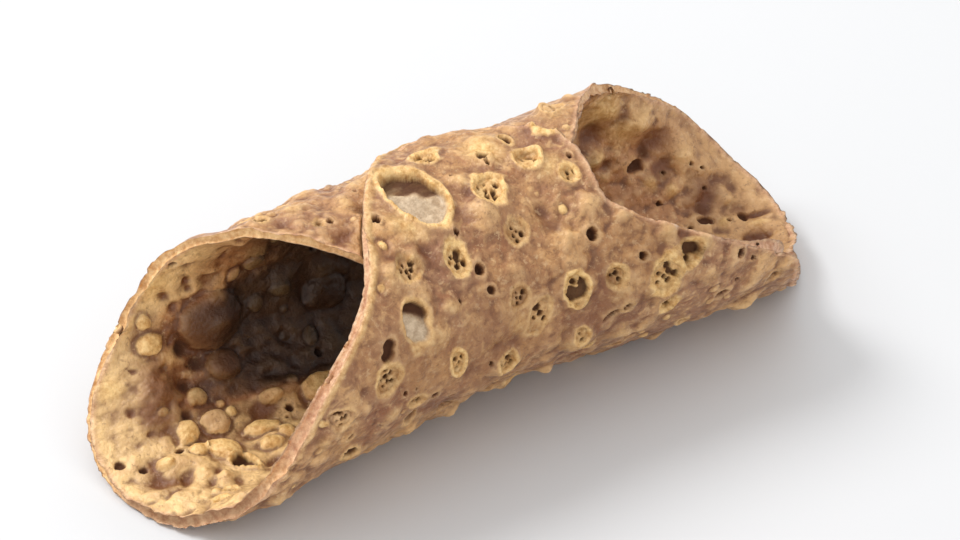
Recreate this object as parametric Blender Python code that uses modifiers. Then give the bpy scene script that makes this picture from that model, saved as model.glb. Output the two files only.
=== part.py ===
"""Fried cannoli shell: one sheet of dough rolled round into an open tube.

The sheet is a rounded rhombus. Two opposite corners point along the tube and make the
tongue at each end. The other two wrap round as flaps and overlap opposite the tongues,
the near flap (-Y side) outside the far one.

Metres, +Z up. The tube lies along X and the origin is at the bottom centre of the
bounding box. A "turn" is the angle round the tube from the tongue line, in radians,
positive toward the near flap.
"""
import math

import bmesh
import bpy

# Driving dimensions
LENGTH = 0.120
TUBE_RADIUS = 0.0191
WALL = 0.0022
LAYER_GAP = 0.0003
TONGUE_ROLL = math.radians(17)
REST_STRIP_WIDTH = 0.009

# The sheet's outline: turns at which its sides would meet if the flap corners were sharp,
# how much of each corner is rounded off, and how far each flap leans toward -X
NEAR_DIAGONAL = math.radians(268)
FAR_DIAGONAL = math.radians(250)
CORNER_ROUNDING = 0.14
ROUNDING_POWER = 3.0
NEAR_LEAN = 0.003
FAR_LEAN = 0.007
LEAN_START = math.radians(64)
LEAN_END = math.radians(135)

# The near flap is drawn in at its waist, more on its +X edge than on its -X edge
WAIST_TURN = math.radians(157)
WAIST_SPREAD = math.radians(27)
WAIST_DEPTH_PLUS = 0.0097
WAIST_DEPTH_MINUS = 0.0034

# The near flap climbs onto the far one between these two turns
CLIMB_START = math.radians(60)
CLIMB_END = math.radians(140)

# The tube is a little thinner where its flaps overlap, and unevenly round
PINCH_DEPTH = 0.0012
PINCH_X = 0.002
PINCH_SPREAD = 0.027
SWELL = 0.0003

# Mesh density of the sheet, with its rows closer together toward the flap ends
ROWS_ROUND = 70
COLUMNS_ALONG = 22
ROW_CROWDING = 0.4

SMOOTH_ANGLE = math.radians(40)
CRUST_COLOUR = (0.365, 0.200, 0.100, 1.0)
CRUST_ROUGHNESS = 0.62


def clear_scene():
    """Remove whatever objects the scene already holds."""
    for item in list(bpy.data.objects):
        bpy.data.objects.remove(item, do_unlink=True)


def smooth_step(value):
    """Ease from 0 to 1 as the value goes from 0 to 1."""
    value = min(max(value, 0.0), 1.0)
    return value * value * (3.0 - 2.0 * value)


def rounded(share):
    """Share of a corner's run that is left once its point is rounded off."""
    power = ROUNDING_POWER
    return max(share ** power - CORNER_ROUNDING ** power, 0.0) ** (1.0 / power)


def half_width(turn):
    """Half of the sheet's extent along X at a turn: a rhombus with four rounded corners."""
    power = ROUNDING_POWER
    diagonal = NEAR_DIAGONAL if turn > 0.0 else FAR_DIAGONAL
    along = ((abs(turn) / diagonal) ** power + CORNER_ROUNDING ** power) ** (1.0 / power)
    return LENGTH / 2 * rounded(max(1.0 - along, 0.0)) / rounded(1.0 - CORNER_ROUNDING)


def edge(turn, side):
    """X of the sheet's edge at a turn; side is +1 or -1."""
    lean = NEAR_LEAN if turn > 0.0 else FAR_LEAN
    leaning = lean * smooth_step((abs(turn) - LEAN_START) / (LEAN_END - LEAN_START))
    depth = WAIST_DEPTH_PLUS if side > 0 else WAIST_DEPTH_MINUS
    waist = depth * math.exp(-((turn - WAIST_TURN) / WAIST_SPREAD) ** 2)
    return side * max(half_width(turn) - waist, 0.0) - leaning


def pinch(x):
    """How much thinner the tube is at X than at its ends."""
    return PINCH_DEPTH * math.exp(-((x - PINCH_X) / PINCH_SPREAD) ** 2)


def outer_radius(x, turn):
    """Radius of the outer face: the tube, the near flap's climb and a gentle swell."""
    climb = smooth_step((turn - CLIMB_START) / (CLIMB_END - CLIMB_START))
    lift = (WALL + LAYER_GAP) * climb
    swell = SWELL * math.sin(2.0 * turn + 0.7) * math.cos(math.tau * x / LENGTH + 0.5)
    return TUBE_RADIUS - pinch(x) + lift + swell


def rest_height():
    """Height of the flat resting strip from the axis of the unpinched tube."""
    return -math.sqrt(TUBE_RADIUS ** 2 - (REST_STRIP_WIDTH / 2) ** 2)


def sheet_point(turn, across):
    """Point of the rolled sheet's outer face; across runs from -1 to 1 along X."""
    share = (across + 1.0) / 2
    x = edge(turn, -1) * (1.0 - share) + edge(turn, 1) * share
    radius = outer_radius(x, turn)
    angle = TONGUE_ROLL - turn
    height = -radius * math.cos(angle) - pinch(x)
    return x, radius * math.sin(angle), max(height, rest_height())


def rolled_sheet():
    """Open mesh of the outer face, rolled from a flat grid and standing on the origin."""
    sheet = bmesh.new()
    bmesh.ops.create_grid(sheet, x_segments=COLUMNS_ALONG, y_segments=ROWS_ROUND, size=1.0)
    for vertex in sheet.verts:
        diagonal = NEAR_DIAGONAL if vertex.co.y > 0.0 else FAR_DIAGONAL
        flap_end = diagonal * rounded(1.0 - CORNER_ROUNDING)
        row = vertex.co.y * (1.0 + ROW_CROWDING - ROW_CROWDING * vertex.co.y ** 2)
        vertex.co = sheet_point(flap_end * row, vertex.co.x)
    bmesh.ops.remove_doubles(sheet, verts=sheet.verts, dist=1e-6)
    bmesh.ops.recalc_face_normals(sheet, faces=sheet.faces)
    lowest = [min(vertex.co[axis] for vertex in sheet.verts) for axis in range(3)]
    highest = [max(vertex.co[axis] for vertex in sheet.verts) for axis in range(3)]
    foot = ((lowest[0] + highest[0]) / 2, (lowest[1] + highest[1]) / 2, lowest[2])
    bmesh.ops.translate(sheet, verts=sheet.verts, vec=[-value for value in foot])
    return sheet


def crust_material():
    """Fried dough: mid brown, matt with a faint oily gloss."""
    material = bpy.data.materials.new("fried_dough")
    material.use_nodes = True
    shader = material.node_tree.nodes["Principled BSDF"]
    shader.inputs["Base Color"].default_value = CRUST_COLOUR
    shader.inputs["Roughness"].default_value = CRUST_ROUGHNESS
    shader.inputs["Metallic"].default_value = 0.0
    return material


def build_shell(collection):
    """The whole shell: the rolled outer face, thickened inward to the wall."""
    sheet = rolled_sheet()
    mesh = bpy.data.meshes.new("shell")
    sheet.to_mesh(mesh)
    sheet.free()
    mesh.materials.append(crust_material())
    mesh.shade_smooth()
    mesh.set_sharp_from_angle(angle=SMOOTH_ANGLE)
    shell = bpy.data.objects.new("shell", mesh)
    collection.objects.link(shell)
    wall = shell.modifiers.new("wall", "SOLIDIFY")
    wall.thickness = WALL
    wall.offset = -1.0
    wall.use_even_offset = True
    wall.use_rim = True
    return shell


def main():
    clear_scene()
    collection = bpy.data.collections.new("cannoli_shell")
    bpy.context.scene.collection.children.link(collection)
    build_shell(collection)


main()
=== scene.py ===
import math

import bpy
import numpy as np
from mathutils import Matrix, Vector


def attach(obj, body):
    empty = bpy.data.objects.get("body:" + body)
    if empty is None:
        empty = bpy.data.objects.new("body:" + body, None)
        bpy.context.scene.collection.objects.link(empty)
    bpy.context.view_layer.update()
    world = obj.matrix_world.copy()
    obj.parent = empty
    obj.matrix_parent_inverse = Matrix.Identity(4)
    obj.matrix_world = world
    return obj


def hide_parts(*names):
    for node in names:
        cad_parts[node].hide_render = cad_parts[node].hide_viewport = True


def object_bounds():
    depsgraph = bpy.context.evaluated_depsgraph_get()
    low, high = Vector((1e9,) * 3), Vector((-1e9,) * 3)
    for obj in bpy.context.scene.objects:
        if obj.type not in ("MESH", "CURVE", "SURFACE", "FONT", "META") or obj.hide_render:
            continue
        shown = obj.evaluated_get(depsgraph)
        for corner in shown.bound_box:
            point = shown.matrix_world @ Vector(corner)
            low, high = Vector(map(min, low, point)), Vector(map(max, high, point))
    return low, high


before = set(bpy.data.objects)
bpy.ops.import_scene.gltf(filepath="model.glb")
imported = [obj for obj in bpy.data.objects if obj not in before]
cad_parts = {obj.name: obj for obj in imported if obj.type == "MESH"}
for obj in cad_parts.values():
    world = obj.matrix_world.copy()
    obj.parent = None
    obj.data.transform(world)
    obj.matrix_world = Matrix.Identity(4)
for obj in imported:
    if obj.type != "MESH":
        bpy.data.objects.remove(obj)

# A fried cannoli shell: a sheet of blistered dough rolled into an open tube.
# Lengths are in millimetres and angles in degrees until the mesh is made. A "turn" is the
# angle round the tube from the tongue line, positive toward the near flap (-Y), which lies
# outside the far flap. "Outer" and "inner" are the two faces of the sheet.

MM = 0.001
CAD_LOW, CAD_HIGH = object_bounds()
LENGTH = (CAD_HIGH.x - CAD_LOW.x) / MM

# The rolled sheet, as the CAD solid has it
TUBE_RADIUS = 19.1
WALL = 2.2
LAYER_GAP = 0.3
TONGUE_ROLL = 17.0
REST_STRIP_WIDTH = 9.0
NEAR_DIAGONAL = 268.0
FAR_DIAGONAL = 250.0
CORNER_ROUNDING = 0.14
ROUNDING_POWER = 3.0
NEAR_LEAN = 3.0
FAR_LEAN = 7.0
LEAN_RANGE = (64.0, 135.0)
WAIST_TURN = 157.0
WAIST_SPREAD = 27.0
WAIST_DEPTH_PLUS = 9.7
WAIST_DEPTH_MINUS = 3.4
CLIMB_RANGE = (60.0, 140.0)
PINCH_DEPTH = 1.2
PINCH_X = 2.0
PINCH_SPREAD = 27.0

# Where the fried tube bulges out of that shape or is pressed in: the middle of each place
# (x, angle from straight down toward +Y), its reach along X and in degrees, and its height
BULGES = [
    (16.0, 140.0, 30.0, 45.0, 2.3),
    (-12.0, 145.0, 14.0, 40.0, 0.6),
    (-50.0, 160.0, 16.0, 80.0, 0.7),
    (-4.0, -44.0, 20.0, 42.0, -2.5),
    (-50.0, -43.0, 14.0, 30.0, 1.3),
    (38.0, -46.0, 10.0, 32.0, -0.5),
]
# Where its +X edge stands out of that outline or falls short: turn, spread in degrees, shift
EDGE_SHIFTS = [
    (-40.0, 35.0, 0.9),
    (60.0, 22.0, -3.7),
    (103.0, 14.0, 3.0),
]
TIP_TUCK = 1.4                  # how far the tongue's +X tip stops short of the CAD solid's
LIP_DEPTH = 1.8                 # how much thicker the sheet is at that tip's blunt end,
LIP_RANGE = (7.0, 1.0)          # by distance from its edge

# The skin lies this far inside the CAD face, so that blisters rise to it
BLISTER_ROOM = 0.55
INNER_DEPTH = 2.5
# Painted shade inside the tube: where it darkens the inside, by distance along X from the middle, on the -X
# and +X side
DEEP_SHADE_RANGES = {-1: (47.0, 31.0), 1: (36.0, 16.0)}
# Painted light near the mouths, reaching further in on the near side and the far side's top
MOUTH_LIGHT_RANGE = (40.0, 52.0)       # and where it is lightest
NEAR_SIDE_REACH = 20.0           # how much further in the near side is light
NEAR_SIDE_TURNS = (-18.0, -4.0)
FAR_SIDE_REACH = 9.0             # and the far side's top
FAR_SIDE_TURNS = (-66.0, -82.0)
ARC = math.radians(TUBE_RADIUS - WALL / 2)      # millimetres of sheet for a degree of turn

# Mesh of the sheet: spacing of its points before it is thinned, and what it is thinned to
POINTS_ROUND = 600
POINTS_ALONG = 400
RIM_STEPS = 9
TRIANGLE_BUDGET = 192000


# ---------------------------------------------------------------- helpers

def smooth_step(low, high, value):
    """Ease from 0 at low to 1 at high; low may be above high."""
    share = np.clip((value - low) / (high - low), 0.0, 1.0)
    return share * share * (3.0 - 2.0 * share)


def gradient_noise(points, scale, seed):
    """Smooth noise about -1 to 1 at (N, 3) points; scale is the size of its lumps."""
    random = np.random.default_rng(seed)
    table = random.permutation(256)
    slopes = random.normal(size=(256, 3))
    slopes /= np.linalg.norm(slopes, axis=1, keepdims=True)
    place = points / scale
    cell = np.floor(place).astype(np.int64)
    inside = place - cell
    blend = inside ** 3 * (inside * (inside * 6.0 - 15.0) + 10.0)
    total = np.zeros(len(points))
    for corner in np.ndindex(2, 2, 2):
        index = (cell + corner) & 255
        key = table[(table[(table[index[:, 0]] + index[:, 1]) & 255] + index[:, 2]) & 255]
        weight = np.prod(np.where(np.array(corner) == 1, blend, 1.0 - blend), axis=1)
        total += weight * np.einsum("ij,ij->i", slopes[key], inside - corner)
    return total * 1.5


def layered_noise(points, scale, seed, layers=3, fall=0.5):
    """Several sizes of noise added, each half the size of the last."""
    total = np.zeros(len(points))
    for layer in range(layers):
        total += fall ** layer * gradient_noise(points, scale / 2 ** layer, seed + layer)
    return total


def bubble_noise(points, size, seed):
    """Packed round bumps, 1 on their tops and 0 in the creases between them."""
    random = np.random.default_rng(seed)
    jitter = random.uniform(0.0, 1.0, size=(4096, 3))
    warp = np.stack([gradient_noise(points, 1.7 * size, seed + axis) for axis in range(3)], axis=1)
    place = points / size + 0.35 * warp
    cell = np.floor(place).astype(np.int64)
    nearest = np.full(len(points), 9.0)
    for step in np.ndindex(3, 3, 3):
        other = cell + np.array(step) - 1
        key = (other[:, 0] * 73856093 ^ other[:, 1] * 19349663 ^ other[:, 2] * 83492791) & 4095
        gap = other + jitter[key] - place
        nearest = np.minimum(nearest, np.einsum("ij,ij->i", gap, gap))
    return np.clip(1.0 - nearest / 0.6, 0.0, 1.0)


# ---------------------------------------------------------------- the rolled sheet

def rounded(share):
    """Share of a corner's run that is left once its point is rounded off."""
    power = ROUNDING_POWER
    return np.maximum(share ** power - CORNER_ROUNDING ** power, 0.0) ** (1.0 / power)


def edge(turn, side):
    """X of the sheet's edge at a turn; side is +1 or -1."""
    power = ROUNDING_POWER
    diagonal = np.where(turn > 0.0, NEAR_DIAGONAL, FAR_DIAGONAL)
    along = ((np.abs(turn) / diagonal) ** power + CORNER_ROUNDING ** power) ** (1.0 / power)
    half = LENGTH / 2 * rounded(np.maximum(1.0 - along, 0.0)) / rounded(1.0 - CORNER_ROUNDING)
    lean = np.where(turn > 0.0, NEAR_LEAN, FAR_LEAN) * smooth_step(*LEAN_RANGE, np.abs(turn))
    depth = WAIST_DEPTH_PLUS if side > 0 else WAIST_DEPTH_MINUS
    waist = depth * np.exp(-((turn - WAIST_TURN) / WAIST_SPREAD) ** 2)
    x = side * np.maximum(half - waist, 0.0) - lean
    if side > 0:
        for middle, spread, shift in EDGE_SHIFTS:
            x = x + shift * np.exp(-((turn - middle) / spread) ** 2)
        x = x - TIP_TUCK * smooth_step(LENGTH / 2 - 12.0, LENGTH / 2, x)
    return x


def pinch(x):
    """How much thinner the tube is at X than at its ends."""
    return PINCH_DEPTH * np.exp(-((x - PINCH_X) / PINCH_SPREAD) ** 2)


def bulge(x, turn):
    """How far the fried tube stands out of the plain roll, the same for both layers."""
    total = np.zeros_like(x)
    for middle, angle, reach, spread, height in BULGES:
        off = (TONGUE_ROLL - turn - angle + 180.0) % 360.0 - 180.0
        total += height * np.exp(-((x - middle) / reach) ** 2 - (off / spread) ** 2)
    return total


def roll(x, turn, depth):
    """Points of the rolled sheet and their outward directions; depth is below the CAD face."""
    climb = (WALL + LAYER_GAP) * smooth_step(*CLIMB_RANGE, turn)
    radius = TUBE_RADIUS - pinch(x) + climb + bulge(x, turn) - depth
    angle = np.radians(TONGUE_ROLL - turn)
    outward = np.stack([np.zeros_like(x), np.sin(angle), -np.cos(angle)], axis=-1)
    points = outward * radius[..., None]
    points[..., 0] = x
    points[..., 2] -= pinch(x)
    return points, outward


def sheet_grid():
    """X and turn of every point of the sheet, rows spaced evenly along its outline."""
    ends = rounded(1.0 - CORNER_ROUNDING) * np.array([-FAR_DIAGONAL, NEAR_DIAGONAL]) * 0.9995
    fine = np.linspace(ends[0], ends[1], 20000)
    run = np.hypot(np.diff(edge(fine, 1)), np.diff(fine) * ARC)
    run += np.hypot(np.diff(edge(fine, -1)), np.diff(fine) * ARC)
    passed = np.concatenate([[0.0], np.cumsum(run)])
    turns = np.interp(np.linspace(0.0, passed[-1], POINTS_ROUND), passed, fine)
    across = np.linspace(0.0, 1.0, POINTS_ALONG)
    x = edge(turns, -1)[:, None] * (1.0 - across) + edge(turns, 1)[:, None] * across
    return x, np.repeat(turns[:, None], POINTS_ALONG, axis=1)


# ---------------------------------------------------------------- blisters

class Face:
    """One face of the sheet: how far each point is raised and slid, and its marks."""

    def __init__(self, x, turn, seed, crease):
        self.crease = crease
        self.x = x
        self.turn = turn
        self.points = roll(x, turn, 0.0)[0].reshape(-1, 3)
        self.lift = np.zeros_like(x)
        self.slide_x = np.zeros_like(x)
        self.slide_arc = np.zeros_like(x)
        self.marks = {mark: np.zeros_like(x) for mark in ("pale", "hole", "floor", "toast", "calm")}
        self.waver = gradient_noise(self.points, 2.6, seed).reshape(x.shape)
        self.fray = gradient_noise(self.points, 1.1, seed + 1).reshape(x.shape)

    def near(self, blister, reach):
        """Rows within reach of a blister, and each point's place about its centre."""
        span = reach / ARC
        first = np.searchsorted(self.turn[:, 0], blister["turn"] - span)
        last = np.searchsorted(self.turn[:, 0], blister["turn"] + span)
        rows = slice(first, last)
        dx = self.x[rows] - blister["x"]
        ds = (self.turn[rows] - blister["turn"]) * ARC
        angle = math.radians(blister.get("angle", 0.0))
        stretch = math.sqrt(blister.get("stretch", 1.0))
        along = (dx * math.cos(angle) + ds * math.sin(angle)) / stretch
        aside = (ds * math.cos(angle) - dx * math.sin(angle)) * stretch
        ragged = blister.get("ragged", 0.3)
        wobble = 1.0 + ragged * self.waver[rows] + 0.4 * ragged * self.fray[rows]
        return rows, dx, ds, np.hypot(along, aside) * wobble

    def mark(self, rows, name, amount):
        self.marks[name][rows] = np.maximum(self.marks[name][rows], amount)

    def slide(self, rows, dx, ds, amount):
        """Slide points away from a centre (dx, ds away) within the sheet."""
        away = np.maximum(np.hypot(dx, ds), 0.2)
        self.slide_x[rows] += amount * dx / away
        self.slide_arc[rows] += amount * ds / away


def pore_pattern(blister, dx, ds, uneven):
    """1 in the small uneven holes of a blister's skin, laid out like a sunflower's seeds."""
    pores = np.zeros_like(dx)
    radius, seed, holes = blister["radius"], blister["seed"], blister["holes"]
    scale = blister.get("pore", 1.0) * radius * (0.12 + 0.36 / (holes + 2.0))
    for count in range(holes):
        way = seed * 5.1 + math.radians(137.5 * count)
        out = 0.66 * radius * math.sqrt((count + 0.4) / holes)
        size = scale * (0.5 + 1.0 * ((count * 0.37 + seed * 0.7) % 1.0))
        distance = np.hypot(dx - out * math.cos(way), ds - out * math.sin(way)) * uneven
        pores = np.maximum(pores, smooth_step(size * 1.2, size * 0.65, distance))
    return pores


def ring_blister(face, blister):
    """A burst bubble: a curled rim round a floor, a hole or a skin with small holes."""
    radius = blister["radius"]
    bead = blister.get("bead", 0.20 + 0.09 * radius)
    height = blister.get("height", 0.5)
    rows, dx, ds, distance = face.near(blister, 2.2 * radius + 3.0)
    lumps = 1.0 + 0.35 * face.fray[rows] + 0.35 * face.waver[rows]
    uneven = 1.0 + 0.45 * face.fray[rows] + 0.3 * face.waver[rows]
    off_crest = (distance - radius) / bead
    crest = np.sqrt(np.clip(1.0 - off_crest ** 2, 0.0, None))
    outside = distance >= radius
    apron = smooth_step(radius + 3.2 * bead, radius, distance) * outside
    inside = smooth_step(radius, radius - 0.9 * bead, distance)
    ring = height * lumps * (0.55 * crest + 0.45 * np.where(outside, apron, inside))
    pores = pore_pattern(blister, dx, ds, uneven) if blister.get("holes", 0) else 0.0
    depth = 0.2 if blister.get("holes", 0) else blister.get("depth", 0.9)
    shade = smooth_step(0.05, 0.45, (0.9 * ds + 0.4 * dx) / radius + 0.25 * face.waver[rows])
    shade = shade if blister.get("floor", False) else 0.0
    sunk = inside * (depth + 0.4 * height + 0.7 * shade)
    face.lift[rows] += ring - sunk - 0.8 * pores * inside
    face.slide(rows, dx, ds, -blister.get("curl", 0.25) * crest * smooth_step(0.6, -0.8, off_crest))
    pale = blister.get("pale", 0.9)
    face.mark(rows, "pale", pale * np.clip(crest * lumps + 0.12 * apron, 0.0, 1.0))
    # A darker band just outside the crest is painted shade round the rim.
    face.mark(rows, "toast", 0.5 * smooth_step(0.9, 1.5, off_crest) * smooth_step(2.8, 1.6, off_crest))
    face.mark(rows, "calm", np.maximum(crest, 0.8 * inside))
    # Pores, the open hole of a plain ring and the shaded upper part of a floor are darkened as painted
    # shade.
    if blister.get("holes", 0):
        face.mark(rows, "pale", 0.75 * pale * inside)
        face.mark(rows, "hole", pores * inside)
    elif blister.get("floor", False):
        face.mark(rows, "floor", inside * (1.0 - shade))
        face.mark(rows, "hole", 0.8 * inside * shade)
    else:
        darkness = 0.8 - 0.6 * face.fray[rows] - 0.4 * face.waver[rows]
        face.mark(rows, "hole", inside * np.clip(darkness, 0.0, 1.0))


def dome_blister(face, blister):
    """A whole bubble, round-topped and narrower at its foot, in a crease darkened as painted shade."""
    radius = blister["radius"]
    height = blister.get("height", 0.62 * radius)
    rows, dx, ds, distance = face.near(blister, 2.2 * radius + 1.0)
    share = np.clip(distance / radius, 0.0, 1.0)
    dome = np.sqrt(1.0 - share ** 2)
    foot = smooth_step(radius + 0.5, radius - 0.2, distance)
    crease = smooth_step(radius + 0.9, radius + 0.1, distance) * (1.0 - foot)
    face.lift[rows] += height * (0.88 * dome + 0.12 * foot) - 0.4 * face.crease * crease
    swell = blister.get("swell", 0.16) * radius * np.sin(math.pi * share) * (share < 1.0)
    face.slide(rows, dx, ds, swell)
    face.mark(rows, blister.get("mark", "pale"), blister.get("strength", 0.8) * (0.3 + 0.7 * dome) * foot)
    # The crease round the foot is painted shade.
    face.mark(rows, "toast", face.crease * crease)
    face.mark(rows, "calm", 0.9 * foot)


def pit_blister(face, blister):
    """A small open hole with a faint rim, its floor darkened as painted shade."""
    radius = blister["radius"]
    rows, dx, ds, distance = face.near({"ragged": 0.6, **blister}, 2.4 * radius + 0.5)
    hole = smooth_step(radius, 0.5 * radius, distance)
    rim = smooth_step(2.0 * radius, 1.1 * radius, distance) * (1.0 - hole)
    face.lift[rows] += 0.16 * rim - blister.get("depth", 1.1) * hole
    face.mark(rows, "hole", hole)


def hill_blister(face, blister):
    """A soft swelling of the skin, or a soft hollow if its height is negative."""
    radius = blister["radius"]
    rows, dx, ds, distance = face.near(blister, 2.4 * radius)
    bump = np.exp(-(distance / (0.62 * radius)) ** 2)
    face.lift[rows] += blister["height"] * bump
    # The mark is strongest at the middle: pale on a swelling is partly painted highlight on its top, and a
    # dark mark in a hollow is painted shade.
    face.mark(rows, blister.get("mark", "pale"), blister.get("strength", 0.25) * bump)


KINDS = {"ring": ring_blister, "dome": dome_blister, "pit": pit_blister, "hill": hill_blister}


# ---------------------------------------------------------------- where the blisters are

def blister(kind, x, turn, radius, **more):
    return {"kind": kind, "x": x, "turn": turn, "radius": radius, **more}


# Blisters that stand out on the shown side of the outer face
OUTER_BLISTERS = [
    blister("ring", -12, 193, 4.9, bead=0.6, stretch=1.35, angle=106, depth=1.0, floor=True,
            height=0.7, ragged=0.1),
    blister("ring", -6, 212, 1.9, height=0.7, holes=2, pore=1.9, stretch=1.5, angle=10),
    blister("ring", -1.5, 184, 2.5, holes=7, height=0.6),
    blister("ring", 7, 191, 1.9, holes=3, height=0.7, stretch=1.3),
    blister("ring", 14, 205, 2.6, stretch=1.5, angle=30, holes=3, pore=1.7, height=1.0, pale=1.0, bead=0.55),
    blister("ring", 11, 177, 1.3, holes=3),
    blister("pit", 10, 150, 0.8),
    blister("pit", -9, 153, 0.9, depth=1.4),
    blister("ring", -12, 160, 2.1, holes=6, height=0.4, stretch=1.3, angle=80),
    blister("ring", -20, 162, 1.9, holes=6, height=0.3, pale=0.6),
    blister("ring", -22, 142, 2.5, stretch=1.5, angle=80, depth=0.6, floor=True, height=0.3, pale=0.6),
    blister("pit", -27.5, 134, 1.6, depth=1.0, stretch=1.8, angle=60, ragged=0.8),
    blister("ring", -28, 123, 2.1, holes=7, height=0.4, pale=0.7),
    blister("ring", -16, 118, 1.8, holes=5, height=0.5, stretch=1.5, angle=90),
    blister("ring", 5, 131, 2.4, stretch=1.35, angle=90, holes=5, pore=1.9, height=0.8, pale=1.0),
    blister("ring", 12, 130, 1.6, holes=4, height=0.5, pale=0.7),
    blister("ring", 20, 122, 2.6, holes=7, height=0.7, stretch=1.25, angle=80, pale=1.0),
    blister("ring", 24.5, 127, 1.9, holes=3, pore=2.0, height=0.7),
    blister("pit", 11, 112, 0.8, stretch=3.5, angle=35, depth=1.2),
    blister("ring", 21, 104, 1.4, holes=3, pore=1.5, height=0.6),
    blister("pit", 31, 96, 0.9, stretch=1.5),
    blister("ring", 21, 150, 1.2, holes=2, height=0.3),
    blister("ring", -1, 162, 1.8, holes=5, height=0.2, pale=0.5),
    blister("ring", -7, 106, 1.8, holes=4, height=0.6),
    blister("ring", 6, 106, 1.4, holes=2, pore=1.6, height=0.5),
    blister("pit", 33, 118, 0.8, depth=1.0),
    blister("hill", 11, 162, 3.4, height=0.8),
    blister("hill", 16, 152, 3.0, height=0.8),
    blister("hill", 21, 142, 2.8, height=0.7),
    blister("hill", 6, 154, 2.8, height=0.6),
    blister("hill", -4, 147, 3.6, height=0.9),
    blister("hill", -7, 134, 3.0, height=0.5),
    blister("hill", 28, 112, 3.4, height=0.6),
    blister("hill", 6.5, 224, 3.6, height=-1.5),
    # Broad darker patches on the near side's lower face: painted shade.
    blister("hill", -24, 124, 13.0, height=0.0, mark="toast", strength=0.36),
    blister("hill", -8, 120, 16.0, height=0.0, mark="toast", strength=0.46),
    blister("hill", 8, 110, 15.0, height=0.0, mark="toast", strength=0.44),
    blister("hill", 19, 134, 12.0, height=0.0, mark="toast", strength=0.36),
    blister("hill", 2, 204, 4.5, height=0.3, strength=0.9),
    blister("hill", -16, 180, 4.0, height=0.3, strength=0.7),
    blister("hill", -15, 205, 4.0, height=0.2, strength=0.9),
    blister("hill", 9, 184, 4.0, height=0.3, strength=0.6),
]

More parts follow.
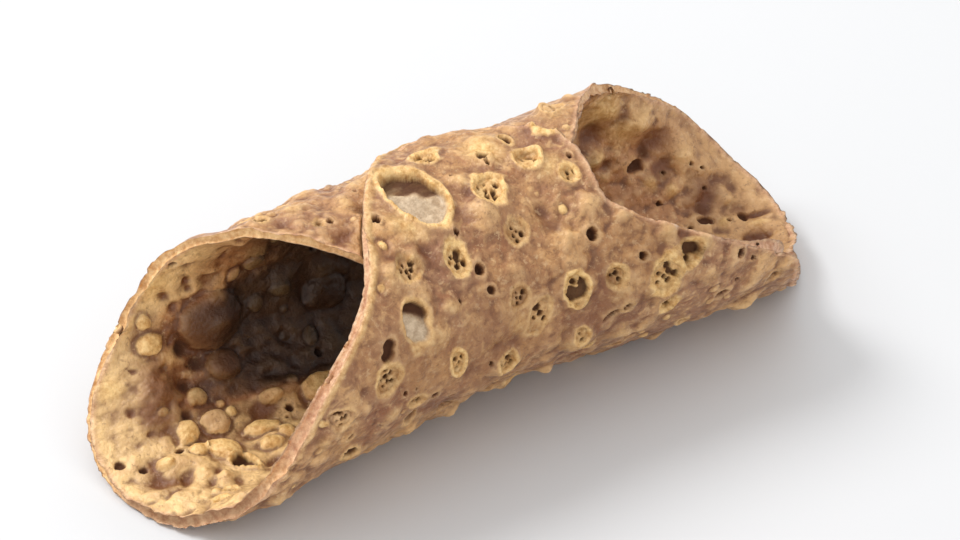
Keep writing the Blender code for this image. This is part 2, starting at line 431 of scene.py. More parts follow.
# Blisters that stand out inside the two mouths; the darker marks on their sunken hills are painted shade
INNER_BLISTERS = [
    blister("pit", -57.5, -3, 0.9),
    blister("pit", -43, -104, 0.8),
    blister("dome", -36.5, -59, 5.4, height=2.8, mark="toast", strength=1.0, swell=0.05, ragged=0.08),
    blister("dome", -46.5, -56, 1.9, stretch=1.3, strength=1.0, ragged=0.15),
    blister("hill", -47.5, -31, 7.4, height=2.5, mark="toast", strength=1.0, stretch=1.6,
            angle=75, ragged=0.2),
    blister("hill", -49.5, -20, 6.2, height=0.5, mark="toast", strength=1.0, stretch=1.4, angle=75),
    blister("hill", -47.5, -40, 4.0, height=0.2, mark="toast", strength=0.9),
    blister("hill", -43, -29, 1.8, height=-1.0, mark="hole", strength=0.8),
    blister("hill", -45, -14, 1.8, height=-0.9, mark="hole", strength=0.8),
    blister("hill", -42, -48, 2.2, height=-1.1, mark="hole", strength=0.9),
    blister("hill", -40, -38, 1.9, height=-0.9, mark="hole", strength=0.8),
    blister("dome", -36, -33, 2.7, height=1.7, mark="toast", strength=0.9, ragged=0.15),
    blister("dome", -42, -22, 1.6, strength=0.7),
    blister("dome", -41.3, -5, 2.3, mark="toast", strength=0.3, ragged=0.15),
    blister("dome", -46, -4, 1.9, strength=1.0),
    blister("dome", -38, -8, 0.9, strength=1.0),
    blister("dome", -42.5, 13, 2.4, strength=1.0, stretch=1.3, angle=60, ragged=0.15),
    blister("dome", -46, 7, 1.4, strength=1.0),
    blister("dome", -35.5, 9, 2.1, strength=1.0, stretch=1.8, angle=20),
    blister("dome", -36, 22, 1.5, strength=1.0, stretch=1.5, angle=20),
    blister("dome", -39, -14, 0.7, strength=0.4),
    blister("ring", -41.3, 27, 1.9, depth=0.8, stretch=1.5, angle=60, height=0.7, pale=1.0),
    blister("ring", -49.5, 50, 1.2, holes=1, pale=1.0),
    blister("hill", -29, -8, 5.0, height=1.9, mark="toast", strength=0.6, stretch=1.4, angle=15, ragged=0.3),
    blister("dome", -31.5, -7, 1.3, strength=0.6, stretch=1.6, angle=20),
    blister("dome", -27, -12, 1.0, strength=0.5),
    blister("dome", -23, 0, 3.4, height=2.2, strength=1.0, stretch=1.5, angle=15, ragged=0.12),
    blister("hill", -51, 9, 2.6, height=0.9, strength=0.5),
    blister("hill", -48, 24, 2.2, height=0.9, strength=0.6),
    blister("hill", -45.5, 33, 1.8, height=0.8, strength=0.6),
    blister("hill", -52.5, 20, 3.2, height=-0.9, mark="toast", strength=1.0, ragged=0.6),
    blister("hill", -49, 34, 1.5, height=-0.5, mark="toast", strength=0.8),
    blister("hill", -54, -40, 3.0, height=0.5, strength=0.9),
    blister("hill", -46, -90, 5.0, height=0.5, strength=0.9),
    blister("hill", -51, -70, 3.4, height=0.5, strength=0.9),
    blister("pit", 34, -107, 1.1, stretch=1.8, angle=60),
    blister("hill", 33, -98, 7.0, height=0.3, strength=0.8, ragged=0.6),
    blister("hill", 37, -78, 4.5, height=0.3, strength=0.6, ragged=0.6),
    blister("hill", 31.5, -82, 3.4, height=-1.3, mark="toast", strength=1.0),
    blister("hill", 32, -68, 2.4, height=1.2, strength=0.9),
    blister("hill", 34, -60, 1.6, height=-0.8, mark="toast", strength=0.9),
    blister("pit", 39, -53, 1.5, depth=1.8, stretch=1.3, ragged=0.3),
    blister("hill", 41, -58, 2.2, height=-0.6, mark="hole", strength=0.6),
    blister("hill", 43, -62, 3.4, height=-0.7, mark="toast", strength=0.9),
    blister("hill", 40, -82, 3.8, height=0.9, strength=0.5),
    blister("hill", 41, -42, 2.2, height=1.0, strength=0.7),
    blister("hill", 48, -50, 3.6, height=0.8, strength=0.4),
    blister("hill", 44, -34, 1.8, height=0.8, strength=0.7),
    blister("hill", 43, -46, 3.6, height=-0.7, mark="toast", strength=1.0),
    blister("hill", 49, -25, 5.4, height=-1.0, mark="toast", strength=1.0, ragged=0.5),
    blister("hill", 48, -19, 2.4, height=-0.4, mark="hole", strength=0.5, ragged=0.5),
    blister("pit", 47.3, -12, 1.3, stretch=2.0, angle=25),
    blister("hill", 50, -7, 1.6, height=0.8, strength=0.9),
    blister("hill", 55, -3.5, 1.5, height=-0.8, stretch=3.5, angle=25, mark="toast", strength=1.0),
    blister("hill", 54.5, 2.5, 1.4, height=0.7, stretch=3.0, angle=30, strength=0.9),
    blister("hill", 53, 9, 2.4, height=-1.5, stretch=2.2, angle=34, mark="toast", strength=1.0),
]


def scatter(placed, recipes, count, seed, room, reach=(-LENGTH / 2, LENGTH / 2)):
    """Fill a face at random within a reach of X, leaving room between neighbours."""
    random = np.random.default_rng(seed)
    shares = np.array([recipe["share"] for recipe in recipes])
    found = []
    ends = rounded(1.0 - CORNER_ROUNDING) * np.array([-FAR_DIAGONAL, NEAR_DIAGONAL])
    for attempt in range(count * 30):
        if len(found) >= count:
            break
        turn = random.uniform(ends[0], ends[1])
        x = random.uniform(*reach)
        recipe = recipes[random.choice(len(recipes), p=shares / shares.sum())]
        radius = random.uniform(*recipe["radius"])
        margin = 0.8 * radius + 0.5
        point = np.array(turn)
        if not edge(point, -1) + margin < x < edge(point, 1) - margin:
            continue
        taken = any(
            math.hypot(x - other["x"], (turn - other["turn"]) * ARC)
            < room * (radius + other["radius"]) and other["kind"] != "hill"
            for other in placed + found
        )
        if taken:
            continue
        made = blister(recipe["kind"], x, turn, radius, stretch=random.uniform(1.0, 1.5),
                       angle=random.uniform(0.0, 180.0))
        for name, (low, high) in recipe.get("ranges", {}).items():
            made[name] = random.uniform(low, high)
        if "holes" in recipe:
            made["holes"] = int(random.integers(*recipe["holes"]))
        if "mark" in recipe:
            made["mark"] = recipe["mark"]
        found.append(made)
    return found


OUTER_SCATTER = [
    {"kind": "ring", "share": 0.22, "radius": (0.9, 2.3), "holes": (3, 8),
     "ranges": {"height": (0.15, 0.5), "pale": (0.2, 0.9)}},
    {"kind": "ring", "share": 0.08, "radius": (0.8, 1.7),
     "ranges": {"height": (0.3, 0.6), "depth": (0.6, 1.0), "pale": (0.4, 0.9)}},
    {"kind": "dome", "share": 0.30, "radius": (0.35, 0.75), "ranges": {"strength": (0.3, 1.0)}},
    {"kind": "pit", "share": 0.20, "radius": (0.3, 0.7), "ranges": {"depth": (0.5, 1.1)}},
]
# Soft hills and hollows over all the skin: pale on the hills' tops is painted highlight, and the darker mark
# in the hollows is painted shade.
HILL_SCATTER = [
    {"kind": "hill", "share": 0.7, "radius": (1.8, 4.2),
     "ranges": {"height": (0.3, 1.1), "strength": (0.1, 0.5)}},
    {"kind": "hill", "share": 0.3, "radius": (1.5, 3.2), "mark": "toast",
     "ranges": {"height": (-0.8, -0.3), "strength": (0.3, 0.8)}},
]
BIG_BUBBLES = [
    {"kind": "dome", "share": 1.0, "radius": (2.2, 3.8), "mark": "toast",
     "ranges": {"height": (0.8, 1.6), "strength": (0.3, 0.8), "swell": (0.0, 0.08),
                "ragged": (0.08, 0.15)}},
]
BUBBLY_SCATTER = [
    {"kind": "dome", "share": 0.55, "radius": (0.5, 1.6), "ranges": {"strength": (0.3, 1.0)}},
    {"kind": "pit", "share": 0.10, "radius": (0.4, 0.8), "ranges": {"depth": (0.6, 1.1)}},
    {"kind": "ring", "share": 0.06, "radius": (0.9, 1.6),
     "ranges": {"height": (0.3, 0.6), "depth": (0.5, 0.9)}},
]
BROWNED_SCATTER = [
    {"kind": "hill", "share": 1.0, "radius": (0.8, 2.2), "mark": "toast",
     "ranges": {"height": (-0.7, -0.2), "strength": (0.5, 1.0), "ragged": (0.4, 0.8)}},
]
SMOOTHER_SCATTER = [
    {"kind": "pit", "share": 0.4, "radius": (0.3, 0.7), "ranges": {"depth": (0.5, 1.0)}},
    {"kind": "hill", "share": 0.6, "radius": (1.6, 3.0),
     "ranges": {"height": (0.3, 0.9), "strength": (0.2, 0.6)}},
]


def outer_blisters():
    return OUTER_BLISTERS + scatter(OUTER_BLISTERS, OUTER_SCATTER, 240, 11, 1.15)


def inner_blisters():
    """Bubbles through the -X end and the middle, few toward the +X mouth."""
    big = scatter(INNER_BLISTERS, BIG_BUBBLES, 12, 22, 1.15, (-24.0, 12.0))
    bubbly = scatter(INNER_BLISTERS + big, BUBBLY_SCATTER, 110, 23, 1.15, (-LENGTH / 2, 12.0))
    browned = scatter(INNER_BLISTERS + big + bubbly, BROWNED_SCATTER, 130, 26, 0.8, (-53.0, -24.0))
    smoother = scatter(INNER_BLISTERS, SMOOTHER_SCATTER, 50, 24, 1.15, (12.0, LENGTH / 2))
    return browned + INNER_BLISTERS + big + bubbly + smoother


def raise_blisters(face, blisters, seed):
    """Press blisters and soft hills into a face."""
    blisters = blisters + scatter([], HILL_SCATTER, 260, seed, room=0.5)
    for number, item in enumerate(blisters):
        item["seed"] = 0.37 + (number * 0.731) % 5.0
        KINDS[item["kind"]](face, item)
    face.marks["pale"] *= 1.0 - 0.6 * face.marks["toast"]


# ---------------------------------------------------------------- the skin between blisters

def covered(x, turn):
    """1 where a point of the far flap lies under the near flap, 0 well clear of it."""
    over = turn + 360.0
    reach = NEAR_DIAGONAL * rounded(1.0 - CORNER_ROUNDING)
    inner_side = np.minimum(x - edge(over, -1), edge(over, 1) - x)
    by_edge = smooth_step(-0.6, 0.6, inner_side)
    return by_edge * smooth_step(reach + 2.0, reach - 2.0, over)


def covering(x, turn):
    """1 where a point of the near flap lies over the far flap."""
    under = turn - 360.0
    reach = FAR_DIAGONAL * rounded(1.0 - CORNER_ROUNDING)
    inner_side = np.minimum(x - edge(under, -1), edge(under, 1) - x)
    return smooth_step(-1.5, 0.5, inner_side) * smooth_step(-reach - 3.0, -reach + 1.0, under)


def box_blur(field, rows, columns):
    """Mean of a field over a window of grid points."""
    for axis, half in ((0, rows), (1, columns)):
        padded = np.concatenate([
            np.repeat(field.take([0], axis), half + 1, axis), field,
            np.repeat(field.take([-1], axis), half, axis)], axis)
        total = np.cumsum(padded, axis=axis)
        size = field.shape[axis]
        upper = total.take(range(2 * half + 1, 2 * half + 1 + size), axis)
        lower = total.take(range(size), axis)
        field = (upper - lower) / (2 * half + 1)
    return field


def roughen(face, seed, smoother):
    """Uneven skin: broad lumps, packed small bubbles and fine grain, from noise in space."""
    shape = face.x.shape
    lumps = layered_noise(face.points, 6.5, seed, 2).reshape(shape)
    patch = smooth_step(-0.45, 0.35, layered_noise(face.points, 11.0, seed + 3, 2)).reshape(shape)
    bumps = bubble_noise(face.points, 3.3, seed + 5).reshape(shape)
    beads = bubble_noise(face.points, 1.5, seed + 7).reshape(shape)
    grain = layered_noise(face.points, 0.95, seed + 9, 2).reshape(shape)
    free = (1.0 - face.marks["calm"]) * (1.0 - np.maximum(face.marks["hole"], face.marks["floor"]))
    free *= 1.0 - smoother
    face.lift += 0.35 * lumps
    face.lift += free * (0.55 * (0.2 + 0.8 * patch) * bumps + (0.05 + 0.20 * patch) * beads)
    face.lift += 0.04 * grain


def relief(face, window):
    """How high each point stands above the skin about it, -1 to 1."""
    step = ARC * np.ptp(face.turn[:, 0]) / POINTS_ROUND
    around = box_blur(face.lift, int(window / step), int(window / 0.2))
    return np.clip((face.lift - around) / (0.25 * window), -1.0, 1.0)


# ---------------------------------------------------------------- the mesh

def broad_swell(points):
    """Slow unevenness that both faces share."""
    return 0.45 * gradient_noise(points.reshape(-1, 3), 24.0, 90).reshape(points.shape[:-1])


def thin_edge(turn, side):
    """How much the sheet thins at its edge, 0 to 1, for the edge on a side of a turn."""
    if side > 0:
        return np.maximum(smooth_step(-15.0, -50.0, turn), smooth_step(105.0, 135.0, turn))
    return 0.75 * smooth_step(110.0, 80.0, turn)


def inner_depth(x, turn):
    """Depth of the inner face, less near the thin stretches of the sheet's edge."""
    thin = thin_edge(turn, 1) * smooth_step(6.0, 0.0, edge(turn, 1) - x)
    thin += thin_edge(turn, -1) * smooth_step(6.0, 0.0, x - edge(turn, -1))
    lip = smooth_step(*LIP_RANGE, edge(turn, 1) - x)
    lip *= smooth_step(-30.0, 10.0, turn) * smooth_step(118.0, 106.0, turn)
    return INNER_DEPTH - 1.3 * thin + LIP_DEPTH * lip


def edge_bead(face):
    """A raised, paler line along the -X edge of the near flap."""
    from_edge = face.x - edge(face.turn, -1)
    line = np.exp(-((from_edge - 0.8) / 0.8) ** 2) * smooth_step(70.0, 120.0, face.turn)
    face.lift += 0.3 * line * (1.0 + 0.6 * face.waver)
    face.marks["pale"] = np.maximum(face.marks["pale"], 0.6 * line)


def lay_face(face, depth, sign):
    """Final points of a face, raised along its own outward side."""
    x = face.x + face.slide_x
    turn = face.turn + face.slide_arc / ARC
    points, outward = roll(x, turn, depth)
    return points + outward * (sign * face.lift + broad_swell(points))[..., None]


def rim_points(outer_edge, inner_edge, seed):
    """Rings of points that round off the sheet's broken edge, from outer to inner."""
    middle = (outer_edge + inner_edge) / 2
    along = np.roll(middle, -3, axis=0) - np.roll(middle, 3, axis=0)
    along /= np.linalg.norm(along, axis=1, keepdims=True)
    through = outer_edge - inner_edge
    thickness = np.linalg.norm(through, axis=1)
    outside = np.cross(through, along) / thickness[:, None]
    rough = 0.20 * gradient_noise(middle, 1.2, seed) + 0.22 * gradient_noise(middle, 3.1, seed + 1)
    rings = []
    for step in range(1, RIM_STEPS):
        angle = math.pi * step / RIM_STEPS
        bulge = (0.46 * thickness + rough) * math.sin(angle) ** 0.8
        ring = middle + through * 0.5 * math.cos(angle) + outside * bulge[:, None]
        pitted = 0.10 * gradient_noise(ring, 0.8, seed + 2) * math.sin(angle)
        rings.append(ring + outside * pitted[:, None])
    return rings


def boundary(rows, columns):
    """Indices of the grid's edge points, once round."""
    grid = np.arange(rows * columns).reshape(rows, columns)
    return np.concatenate([grid[0, :-1], grid[:-1, -1], grid[-1, :0:-1], grid[:0:-1, 0]])


def grid_faces(rows, columns):
    grid = np.arange(rows * columns).reshape(rows, columns)
    corners = [grid[:-1, :-1], grid[:-1, 1:], grid[1:, 1:], grid[1:, :-1]]
    return np.stack([corner.ravel() for corner in corners], axis=1)


def shell_mesh():
    """The whole shell as one closed mesh, with its marks in two colour attributes."""
    x, turn = sheet_grid()
    outer = Face(x, turn, 3, crease=0.3)
    inner = Face(x, turn, 7, crease=0.35)
    raise_blisters(outer, outer_blisters(), 12)
    raise_blisters(inner, inner_blisters(), 25)
    edge_bead(outer)
    roughen(outer, 31, 0.0)
    roughen(inner, 47, 0.75 * smooth_step(8.0, 3.0, x - edge(turn, -1)) * smooth_step(10.0, -15.0, turn))
    under = covered(x, turn)
    over = covering(x, turn)
    thickness = inner_depth(x, turn) - BLISTER_ROOM
    outer.lift = np.maximum(outer.lift, -0.60 * thickness)
    inner.lift = np.maximum(inner.lift, -0.38 * thickness)
    outer.lift = outer.lift * (1.0 - under) - 0.25 * under
    inner.lift = inner.lift * (1.0 - over) - 0.10 * over
    for face, hidden in ((outer, under), (inner, over)):
        face.slide_x *= 1.0 - hidden
        face.slide_arc *= 1.0 - hidden
    rows, columns = x.shape
    outer_points = lay_face(outer, BLISTER_ROOM, 1.0).reshape(-1, 3)
    inner_points = lay_face(inner, inner_depth(x, turn), -1.0).reshape(-1, 3)
    loop = boundary(rows, columns)
    rings = rim_points(outer_points[loop], inner_points[loop], 71)
    points = np.concatenate([outer_points, inner_points] + rings)
    quads = grid_faces(rows, columns)
    count = rows * columns
    faces = [quads, quads[:, ::-1] + count]
    rails = [loop] + [2 * count + len(loop) * step + np.arange(len(loop)) for step in range(len(rings))]
    rails.append(loop + count)
    for rail, following in zip(rails, rails[1:]):
        faces.append(np.stack([rail, following, np.roll(following, -1), np.roll(rail, -1)], axis=1))
    rim_x, rim_turn = x.ravel()[loop], turn.ravel()[loop]
    # Thin stretches of the rim are painted paler, as painted light where the rim faces away from the lamps.
    rim_painted_light = np.where(rim_x < 0.0, 0.8 * thin_edge(rim_turn, -1), 0.4 * thin_edge(rim_turn, 1))
    browned = smooth_step(0.0, 20.0, rim_turn) * smooth_step(95.0, 75.0, rim_turn) * (rim_x < 0.0)
    rim_painted_light = rim_painted_light * (1.0 - 0.7 * browned)

    def attribute(*fields):
        """Stack point values: outer face, inner face, then the value round the rim."""
        table = np.zeros((len(points), 4))
        for channel, (outer_field, inner_field, rim_field) in enumerate(fields):
            table[:count, channel] = outer_field.ravel()
            table[count:2 * count, channel] = inner_field.ravel()
            table[2 * count:, channel] = np.tile(np.broadcast_to(rim_field, len(loop)), len(rings))
        return table

    rim_marks = {"pale": rim_painted_light, "hole": 0.42 * browned}
    marks = attribute(*[(outer.marks[name], inner.marks[name], rim_marks.get(name, 0.0))
                        for name in ("pale", "hole", "floor", "toast")])
    to_edge = np.minimum(x - edge(turn, -1), edge(turn, 1) - x)
    near_edge = smooth_step(1.6, 0.0, to_edge)
    # Painted light and shade inside the tube: light near the mouths and further in on the near side and the
    # far side's top, where the lamps reach in; darker, then near black further in, where shade falls.
    ragged = 3.0 * gradient_noise(inner.points, 5.0, 60).reshape(x.shape)
    reach = np.abs(x) + ragged + NEAR_SIDE_REACH * smooth_step(*NEAR_SIDE_TURNS, turn)
    reach += FAR_SIDE_REACH * smooth_step(*FAR_SIDE_TURNS, turn)
    deep = np.where(x < 0.0, smooth_step(*DEEP_SHADE_RANGES[-1], reach), smooth_step(*DEEP_SHADE_RANGES[1], reach))
    light = np.where(x < 0.0, 0.25, 0.08) * smooth_step(*MOUTH_LIGHT_RANGE, reach)
    painted_interior_shade = 0.5 + 0.5 * deep - light
    # Colour tones: fine and broad relief, which paint shade in hollows and highlight on rises, then the rim,
    # then the painted light and shade inside the tube.
    tones = attribute((relief(outer, 1.1) / 2 + 0.5, relief(inner, 1.1) / 2 + 0.5, 0.5),
                      (near_edge, near_edge, 1.0),
                      (np.zeros_like(x), painted_interior_shade, 0.0),
                      (relief(outer, 3.5) / 2 + 0.5, relief(inner, 3.5) / 2 + 0.5, 0.5))
    return points, np.concatenate(faces), {"marks": marks, "tones": tones}


def settle(points):
    """Move the points from the tube's axis to the CAD frame, resting on its floor."""
    axis_height = math.sqrt(TUBE_RADIUS ** 2 - (REST_STRIP_WIDTH / 2) ** 2)
    axis_y = CAD_HIGH.y / MM - TUBE_RADIUS
    points = points + np.array([(CAD_HIGH.x + CAD_LOW.x) / MM / 2, axis_y, CAD_LOW.z / MM + axis_height])
    floor = CAD_LOW.z / MM
    height = points[:, 2] - floor
    soft = 0.35
    lifted = np.where(height > 4 * soft, height, soft * np.log1p(np.exp(np.clip(height / soft, -60, 60))))
    points[:, 2] = floor + lifted - lifted.min()
    return points * MM


def make_shell(material):
    points, faces, attributes = shell_mesh()
    mesh = bpy.data.meshes.new("cannoli_shell")
    mesh.from_pydata(settle(points).tolist(), [], faces.tolist())
    for name, table in attributes.items():
        layer = mesh.attributes.new(name, "FLOAT_COLOR", "POINT")
        layer.data.foreach_set("color", table.ravel())
    mesh.shade_smooth()
    mesh.materials.append(material)
    shell = bpy.data.objects.new("cannoli_shell", mesh)
    bpy.context.scene.collection.objects.link(shell)
    thin = shell.modifiers.new("thin", "DECIMATE")
    thin.ratio = TRIANGLE_BUDGET / (2 * len(faces))
    evaluated = shell.evaluated_get(bpy.context.evaluated_depsgraph_get())
    thinned = bpy.data.meshes.new_from_object(evaluated)
    shell.modifiers.clear()
    shell.data = thinned
    thinned.name = "cannoli_shell"
    thinned.shade_smooth()
    bpy.data.meshes.remove(mesh)
    return shell


# ---------------------------------------------------------------- material

def node(tree, kind, **settings):
    made = tree.nodes.new(kind)
    for name, value in settings.items():
        setattr(made, name, value)
    return made


def noise_node(tree, coordinates, scale, detail, roughness=0.55, distortion=0.0):
    made = node(tree, "ShaderNodeTexNoise")
    made.inputs["Scale"].default_value = scale
    made.inputs["Detail"].default_value = detail
    made.inputs["Roughness"].default_value = roughness
    made.inputs["Distortion"].default_value = distortion
    tree.links.new(coordinates, made.inputs["Vector"])
    return made.outputs["Fac"]


def spread(tree, value, low, high, to_low=0.0, to_high=1.0):
    """Map a value's range onto another, clamped."""
    made = node(tree, "ShaderNodeMapRange")
    tree.links.new(value, made.inputs["Value"])
    for name, number in (("From Min", low), ("From Max", high), ("To Min", to_low), ("To Max", to_high)):
        made.inputs[name].default_value = number
    return made.outputs["Result"]


def times(tree, first, second):
    made = node(tree, "ShaderNodeMath", operation="MULTIPLY")
    for socket, value in zip(made.inputs, (first, second)):
        if isinstance(value, (int, float)):
            socket.default_value = value
        else:
            tree.links.new(value, socket)
    return made.outputs[0]


def mix(tree, factor, first, second, blend="MIX"):
    """Mix two colours, each a socket or an RGB triple."""
    made = node(tree, "ShaderNodeMix", data_type="RGBA", blend_type=blend)
    tree.links.new(factor, made.inputs["Factor"])
    for name, value in (("A", first), ("B", second)):
        socket = next(item for item in made.inputs if item.name == name and item.type == "RGBA")
        if isinstance(value, tuple):
            socket.default_value = (*value, 1.0)
        else:
            tree.links.new(value, socket)
    return next(item for item in made.outputs if item.type == "RGBA")


def wavy(tree, coordinates, scale, reach):
    """Coordinates pushed about by noise, so that a pattern on them has no straight lines."""
    push = node(tree, "ShaderNodeTexNoise")
    push.inputs["Scale"].default_value = scale
    tree.links.new(coordinates, push.inputs["Vector"])
    centred = node(tree, "ShaderNodeVectorMath", operation="SUBTRACT")
    tree.links.new(push.outputs["Color"], centred.inputs[0])
    centred.inputs[1].default_value = (0.5, 0.5, 0.5)
    shifted = node(tree, "ShaderNodeVectorMath", operation="MULTIPLY_ADD")
    tree.links.new(centred.outputs[0], shifted.inputs[0])
    shifted.inputs[1].default_value = (2 * reach, 2 * reach, 2 * reach)
    tree.links.new(coordinates, shifted.inputs[2])
    return shifted.outputs[0]


def linear(red, green, blue):
    """Linear colour of an everyday 0 to 255 one."""
    def one(value):
        value /= 255.0
        return value / 12.92 if value <= 0.04045 else ((value + 0.055) / 1.055) ** 2.4
    return one(red), one(green), one(blue)


def crust_material():
    """Fried dough: mottled tan and brown, pale on raised rims; painted shade darkens holes, hollows, creases
    and the inside of the tube, and painted highlight lightens raised skin.
    """
    material = bpy.data.materials.new("fried_dough")
    material.use_nodes = True
    tree = material.node_tree
    shader = tree.nodes["Principled BSDF"]
    coordinates = node(tree, "ShaderNodeTexCoord").outputs["Object"]
    marks = node(tree, "ShaderNodeAttribute", attribute_name="marks")
    tones = node(tree, "ShaderNodeAttribute", attribute_name="tones")
    split_marks = node(tree, "ShaderNodeSeparateColor")
    split_tones = node(tree, "ShaderNodeSeparateColor")
    tree.links.new(marks.outputs["Color"], split_marks.inputs["Color"])
    tree.links.new(tones.outputs["Color"], split_tones.inputs["Color"])
    pale, hole, floor = (split_marks.outputs[name] for name in ("Red", "Green", "Blue"))
    toast = marks.outputs["Alpha"]
    fine_relief_shading, rim, inside = (split_tones.outputs[name] for name in ("Red", "Green", "Blue"))
    broad_relief_shading = tones.outputs["Alpha"]

    broad = noise_node(tree, coordinates, 55.0, 3.0)
    patches = noise_node(tree, coordinates, 190.0, 4.0, distortion=0.6)
    mottle = noise_node(tree, coordinates, 480.0, 3.0, roughness=0.6, distortion=0.8)
    specks = noise_node(tree, coordinates, 900.0, 3.0, roughness=0.7)
    cells = node(tree, "ShaderNodeTexVoronoi", feature="SMOOTH_F1")
    cells.inputs["Scale"].default_value = 820.0
    cells.inputs["Smoothness"].default_value = 0.35
    tree.links.new(wavy(tree, coordinates, 700.0, 0.0006), cells.inputs["Vector"])
    crease = cells.outputs["Distance"]
    skin = mix(tree, spread(tree, broad, 0.38, 0.62), linear(192, 141, 86), linear(158, 111, 78))
    skin = mix(tree, spread(tree, patches, 0.52, 0.68, 0.0, 0.7), skin, linear(218, 168, 108))
    skin = mix(tree, spread(tree, patches, 0.46, 0.32, 0.0, 0.7), skin, linear(150, 92, 52))
    skin = mix(tree, spread(tree, mottle, 0.54, 0.68, 0.0, 0.6), skin, linear(228, 182, 124))
    skin = mix(tree, spread(tree, mottle, 0.45, 0.32, 0.0, 0.65), skin, linear(124, 78, 44))
    # Painted light and shade inside the tube: golden where light reaches in at the mouths, then brown
    # further in.
    skin = mix(tree, spread(tree, inside, 0.12, 0.25, 0.0, 0.85), skin, linear(250, 210, 146))
    skin = mix(tree, spread(tree, inside, 0.28, 0.5, 0.0, 0.85), skin, linear(168, 106, 60))
    # Painted shade in broad hollows of the skin and painted highlight on its broad rises.
    skin = mix(tree, spread(tree, broad_relief_shading, 0.45, 0.12, 0.0, 0.7), skin, linear(126, 76, 44))
    skin = mix(tree, spread(tree, broad_relief_shading, 0.55, 0.9, 0.0, 0.45), skin, linear(226, 180, 126))
    # Painted shade in the creases between small cells and painted highlight on their tops.
    skin = mix(tree, spread(tree, crease, 0.42, 0.75, 0.0, 0.25), skin, linear(124, 76, 46))
    skin = mix(tree, spread(tree, crease, 0.30, 0.05, 0.0, 0.3), skin, linear(226, 182, 130))
    # Painted shade in small hollows and painted highlight on small raised bumps.
    skin = mix(tree, spread(tree, fine_relief_shading, 0.46, 0.12, 0.0, 0.75), skin, linear(104, 60, 34))
    skin = mix(tree, spread(tree, fine_relief_shading, 0.56, 0.95, 0.0, 0.5), skin, linear(234, 190, 136))
    skin = mix(tree, spread(tree, specks, 0.57, 0.70, 0.0, 0.5), skin, linear(238, 200, 150))
    skin = mix(tree, spread(tree, specks, 0.43, 0.32, 0.0, 0.45), skin, linear(100, 60, 36))
    # Browning, and painted shade in the creases round bubbles and rings and in sunken hills.
    skin = mix(tree, spread(tree, toast, 0.0, 0.85, 0.0, 0.9), skin, linear(114, 64, 30))
    crumb = mix(tree, spread(tree, specks, 0.38, 0.62), linear(196, 142, 106), linear(238, 194, 152))
    skin = mix(tree, spread(tree, rim, 0.1, 1.0, 0.0, 0.8), skin, crumb)
    gold = mix(tree, spread(tree, specks, 0.35, 0.6), linear(208, 156, 84), linear(248, 208, 140))
    # Paler crisp rims and bubbles, with painted light along thin stretches of the rim and painted highlight
    # on hill tops.
    skin = mix(tree, spread(tree, pale, 0.1, 0.9, 0.0, 0.92), skin, gold)
    ash = mix(tree, spread(tree, specks, 0.35, 0.65), linear(176, 150, 120), linear(216, 192, 160))
    skin = mix(tree, floor, skin, ash)
    # Painted shade in holes, pits, recesses and sunken hills, with some browning along part of the rim.
    skin = mix(tree, spread(tree, hole, 0.15, 0.8, 0.0, 0.93), skin, linear(78, 45, 24))
    # Painted shade: near black deep inside the tube.
    skin = mix(tree, spread(tree, inside, 0.5, 1.0, 0.0, 0.9), skin, linear(44, 30, 24))
    tree.links.new(skin, shader.inputs["Base Color"])
    sheen = spread(tree, specks, 0.3, 0.7, 0.50, 0.26)
    dull = node(tree, "ShaderNodeMath", operation="MAXIMUM")
    tree.links.new(sheen, dull.inputs[0])
    tree.links.new(spread(tree, hole, 0.1, 0.5, 0.0, 0.95), dull.inputs[1])
    tree.links.new(dull.outputs[0], shader.inputs["Roughness"])
    shader.inputs["Specular IOR Level"].default_value = 0.5

    grain = noise_node(tree, coordinates, 2400.0, 4.0, roughness=0.65)
    height = node(tree, "ShaderNodeMath", operation="MULTIPLY_ADD")
    tree.links.new(crease, height.inputs[0])
    height.inputs[1].default_value = -0.5
    tree.links.new(times(tree, grain, 0.45), height.inputs[2])
    bump = node(tree, "ShaderNodeBump")
    bump.inputs["Strength"].default_value = 0.8
    bump.inputs["Distance"].default_value = 0.0005
    tree.links.new(height.outputs[0], bump.inputs["Height"])
    tree.links.new(bump.outputs["Normal"], shader.inputs["Normal"])
    return material


# ---------------------------------------------------------------- floor, light and camera

FLOOR_SIZE = 3.0
WORLD_STRENGTH = 0.97
# Each lamp's azimuth and elevation, its distance and size in metres, and its power in watts
LAMPS = {
    "key": (-138.0, 46.0, 0.9, 0.45, 5.8),
    "fill": (-50.0, 40.0, 1.2, 0.9, 0.4),
}
PHOTO_AZIMUTH = -34.3
PHOTO_ELEVATION = 37.8
PHOTO_DISTANCE = 0.884
PHOTO_ROLL = 1.7
LENS = 226.0


def direction(azimuth, elevation):
    """Unit vector from the shell toward a place seen at an azimuth and an elevation."""
    a, e = math.radians(azimuth), math.radians(elevation)
    return Vector((math.sin(a) * math.cos(e), -math.cos(a) * math.cos(e), math.sin(e)))


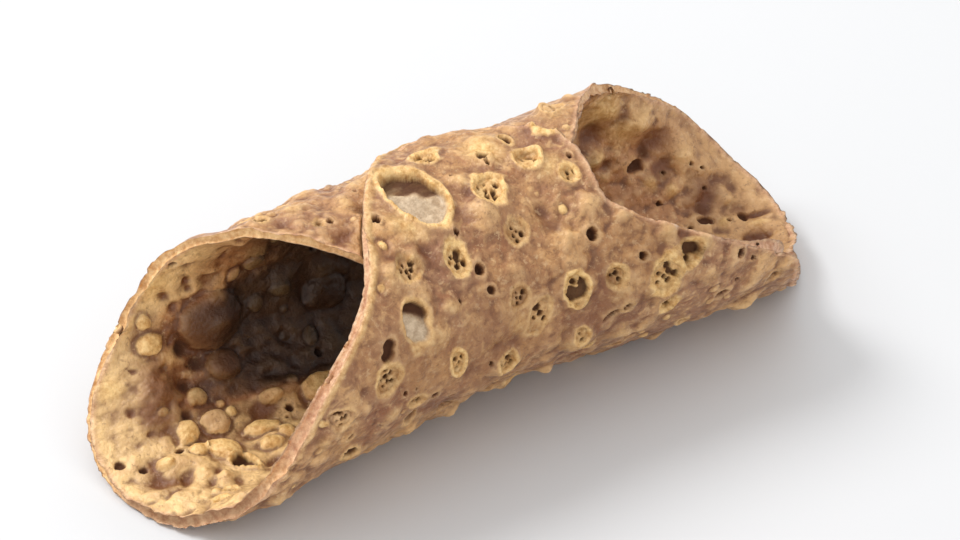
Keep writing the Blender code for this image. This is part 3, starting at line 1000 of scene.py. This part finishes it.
def make_floor():
    mesh = bpy.data.meshes.new("floor")
    half = FLOOR_SIZE / 2
    z = CAD_LOW.z - 0.0002
    corners = [(-half, -half, z), (half, -half, z), (half, half, z), (-half, half, z)]
    mesh.from_pydata(corners, [], [(0, 1, 2, 3)])
    material = bpy.data.materials.new("pale_floor")
    material.use_nodes = True
    tree = material.node_tree
    coordinates = node(tree, "ShaderNodeTexCoord").outputs["Object"]
    cloud = noise_node(tree, coordinates, 6.0, 3.0)
    tone = mix(tree, cloud, (0.66, 0.67, 0.68), (0.69, 0.69, 0.70))
    tree.links.new(tone, tree.nodes["Principled BSDF"].inputs["Base Color"])
    tree.nodes["Principled BSDF"].inputs["Roughness"].default_value = 0.6
    mesh.materials.append(material)
    floor = bpy.data.objects.new("floor", mesh)
    bpy.context.scene.collection.objects.link(floor)


def make_light(name, azimuth, elevation, distance, size, power):
    lamp = bpy.data.lights.new(name, "AREA")
    lamp.shape = "DISK"
    lamp.size = size
    lamp.energy = power
    light = bpy.data.objects.new(name, lamp)
    centre = (CAD_LOW + CAD_HIGH) / 2
    toward = direction(azimuth, elevation)
    light.location = centre + toward * distance
    light.rotation_euler = toward.to_track_quat("Z", "Y").to_euler()
    bpy.context.scene.collection.objects.link(light)


def make_world():
    world = bpy.data.worlds.new("studio")
    world.use_nodes = True
    background = world.node_tree.nodes["Background"]
    background.inputs["Color"].default_value = (1.0, 1.0, 1.0, 1.0)
    background.inputs["Strength"].default_value = WORLD_STRENGTH
    bpy.context.scene.world = world


def make_camera():
    """The photograph's viewing angle, with the shell larger in the frame."""
    lens = bpy.data.cameras.new("camera")
    lens.lens = LENS
    camera = bpy.data.objects.new("camera", lens)
    centre = (CAD_LOW + CAD_HIGH) / 2
    back = direction(PHOTO_AZIMUTH, PHOTO_ELEVATION)
    turned = back.to_track_quat("Z", "Y").to_matrix().to_4x4()
    rolled = Matrix.Rotation(math.radians(PHOTO_ROLL), 4, "Z")
    camera.matrix_world = Matrix.Translation(centre + back * PHOTO_DISTANCE) @ turned @ rolled
    bpy.context.scene.collection.objects.link(camera)
    bpy.context.scene.camera = camera


bpy.context.scene.view_settings.view_transform = "Standard"
make_floor()
make_world()
for name, settings in LAMPS.items():
    make_light(name, *settings)
make_camera()
shell = make_shell(crust_material())
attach(shell, "root")
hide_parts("shell")
